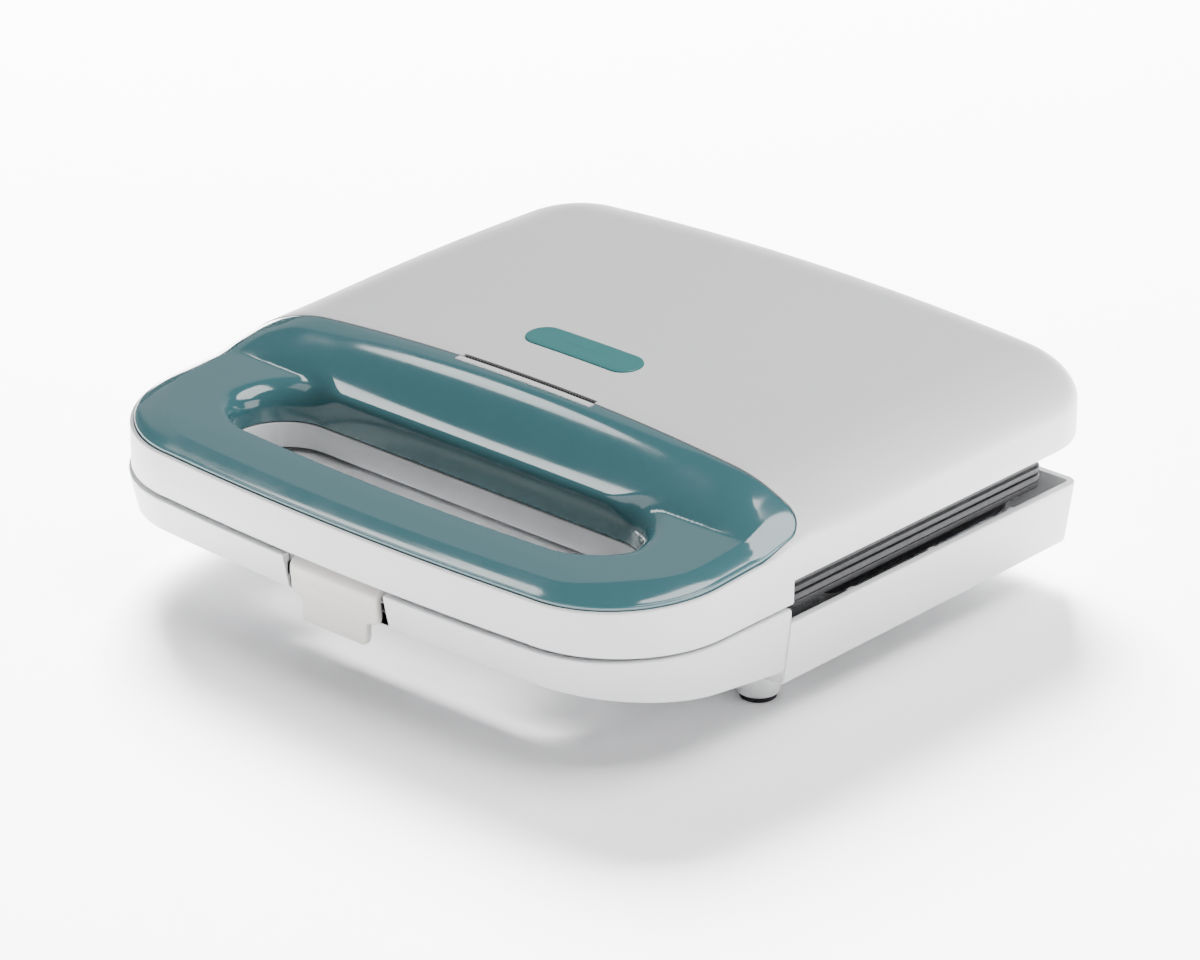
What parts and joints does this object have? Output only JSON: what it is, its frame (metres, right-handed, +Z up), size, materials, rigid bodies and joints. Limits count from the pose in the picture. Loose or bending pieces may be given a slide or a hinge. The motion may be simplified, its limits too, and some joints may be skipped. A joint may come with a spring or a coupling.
{
  "type": "sandwich toaster",
  "caption": "Hinged two-slice sandwich toaster with triangle pocket plates, a slotted grip and a swinging front latch.",
  "frame": {"origin": "middle of the footprint of the whole toaster, on the surface it stands on", "axes": "+X to the right as seen from the grip, +Y from the grip to the hinge, +Z up"},
  "size_m": [0.2276, 0.2248, 0.0745],
  "materials": {
    "body_white": "fine matte moulded texture",
    "grip_teal": "smooth gloss",
    "latch_cream": "satin",
    "plate_black": "non-stick coating on cast aluminium",
    "rubber_black": "matte",
    "screw_steel": "zinc plated",
    "heater_steel": "oxidised",
    "reflector_alu": "bright sheet",
    "ceramic_cream": "heat-proof moulding",
    "wire_red": "silicone sleeve",
    "badge_teal": "smooth gloss",
    "lens_smoked": "dark translucent strip",
    "holder_grey": "plain",
    "lamp_red": "neon lamp",
    "lamp_green": "neon lamp"
  },
  "bodies": {
    "base": {"base_shell": "body_white", "grip_deck": "body_white", "deck_screws": "screw_steel", "foot_pads": "rubber_black", "lower_plate": "plate_black", "lower_plate_screws": "screw_steel", "lower_element": "heater_steel", "lower_reflector": "reflector_alu", "terminal_block": "ceramic_cream", "base_wiring": "wire_red", "cord_gland": "rubber_black", "cord_clamp": "ceramic_cream", "clamp_screws": "screw_steel", "hinge_pins": "screw_steel"},
    "lid": {"lid_shell": "body_white", "handle_cover": "grip_teal", "cover_screws": "screw_steel", "badge": "badge_teal", "indicator_lens": "lens_smoked", "lamp_holder": "holder_grey", "power_lamp": "lamp_red", "ready_lamp": "lamp_green", "upper_plate": "plate_black", "upper_plate_screws": "screw_steel", "upper_element": "heater_steel", "upper_reflector": "reflector_alu", "thermostat": "heater_steel", "thermal_fuse": "screw_steel", "lid_wiring": "wire_red"},
    "latch": {"latch": "latch_cream", "latch_pin": "screw_steel"}
  },
  "joints": [
    {"name": "lid_hinge", "type": "hinge", "parent": "base", "child": "lid", "pos_m": [0, 0.0914, 0.036], "axis": [-1, 0, 0], "range_deg": [0, 100]},
    {"name": "latch_pivot", "type": "hinge", "parent": "lid", "child": "latch", "pos_m": [0, -0.1086, 0.0326], "axis": [-1, 0, 0], "range_deg": [-10, 75]}
  ]
}
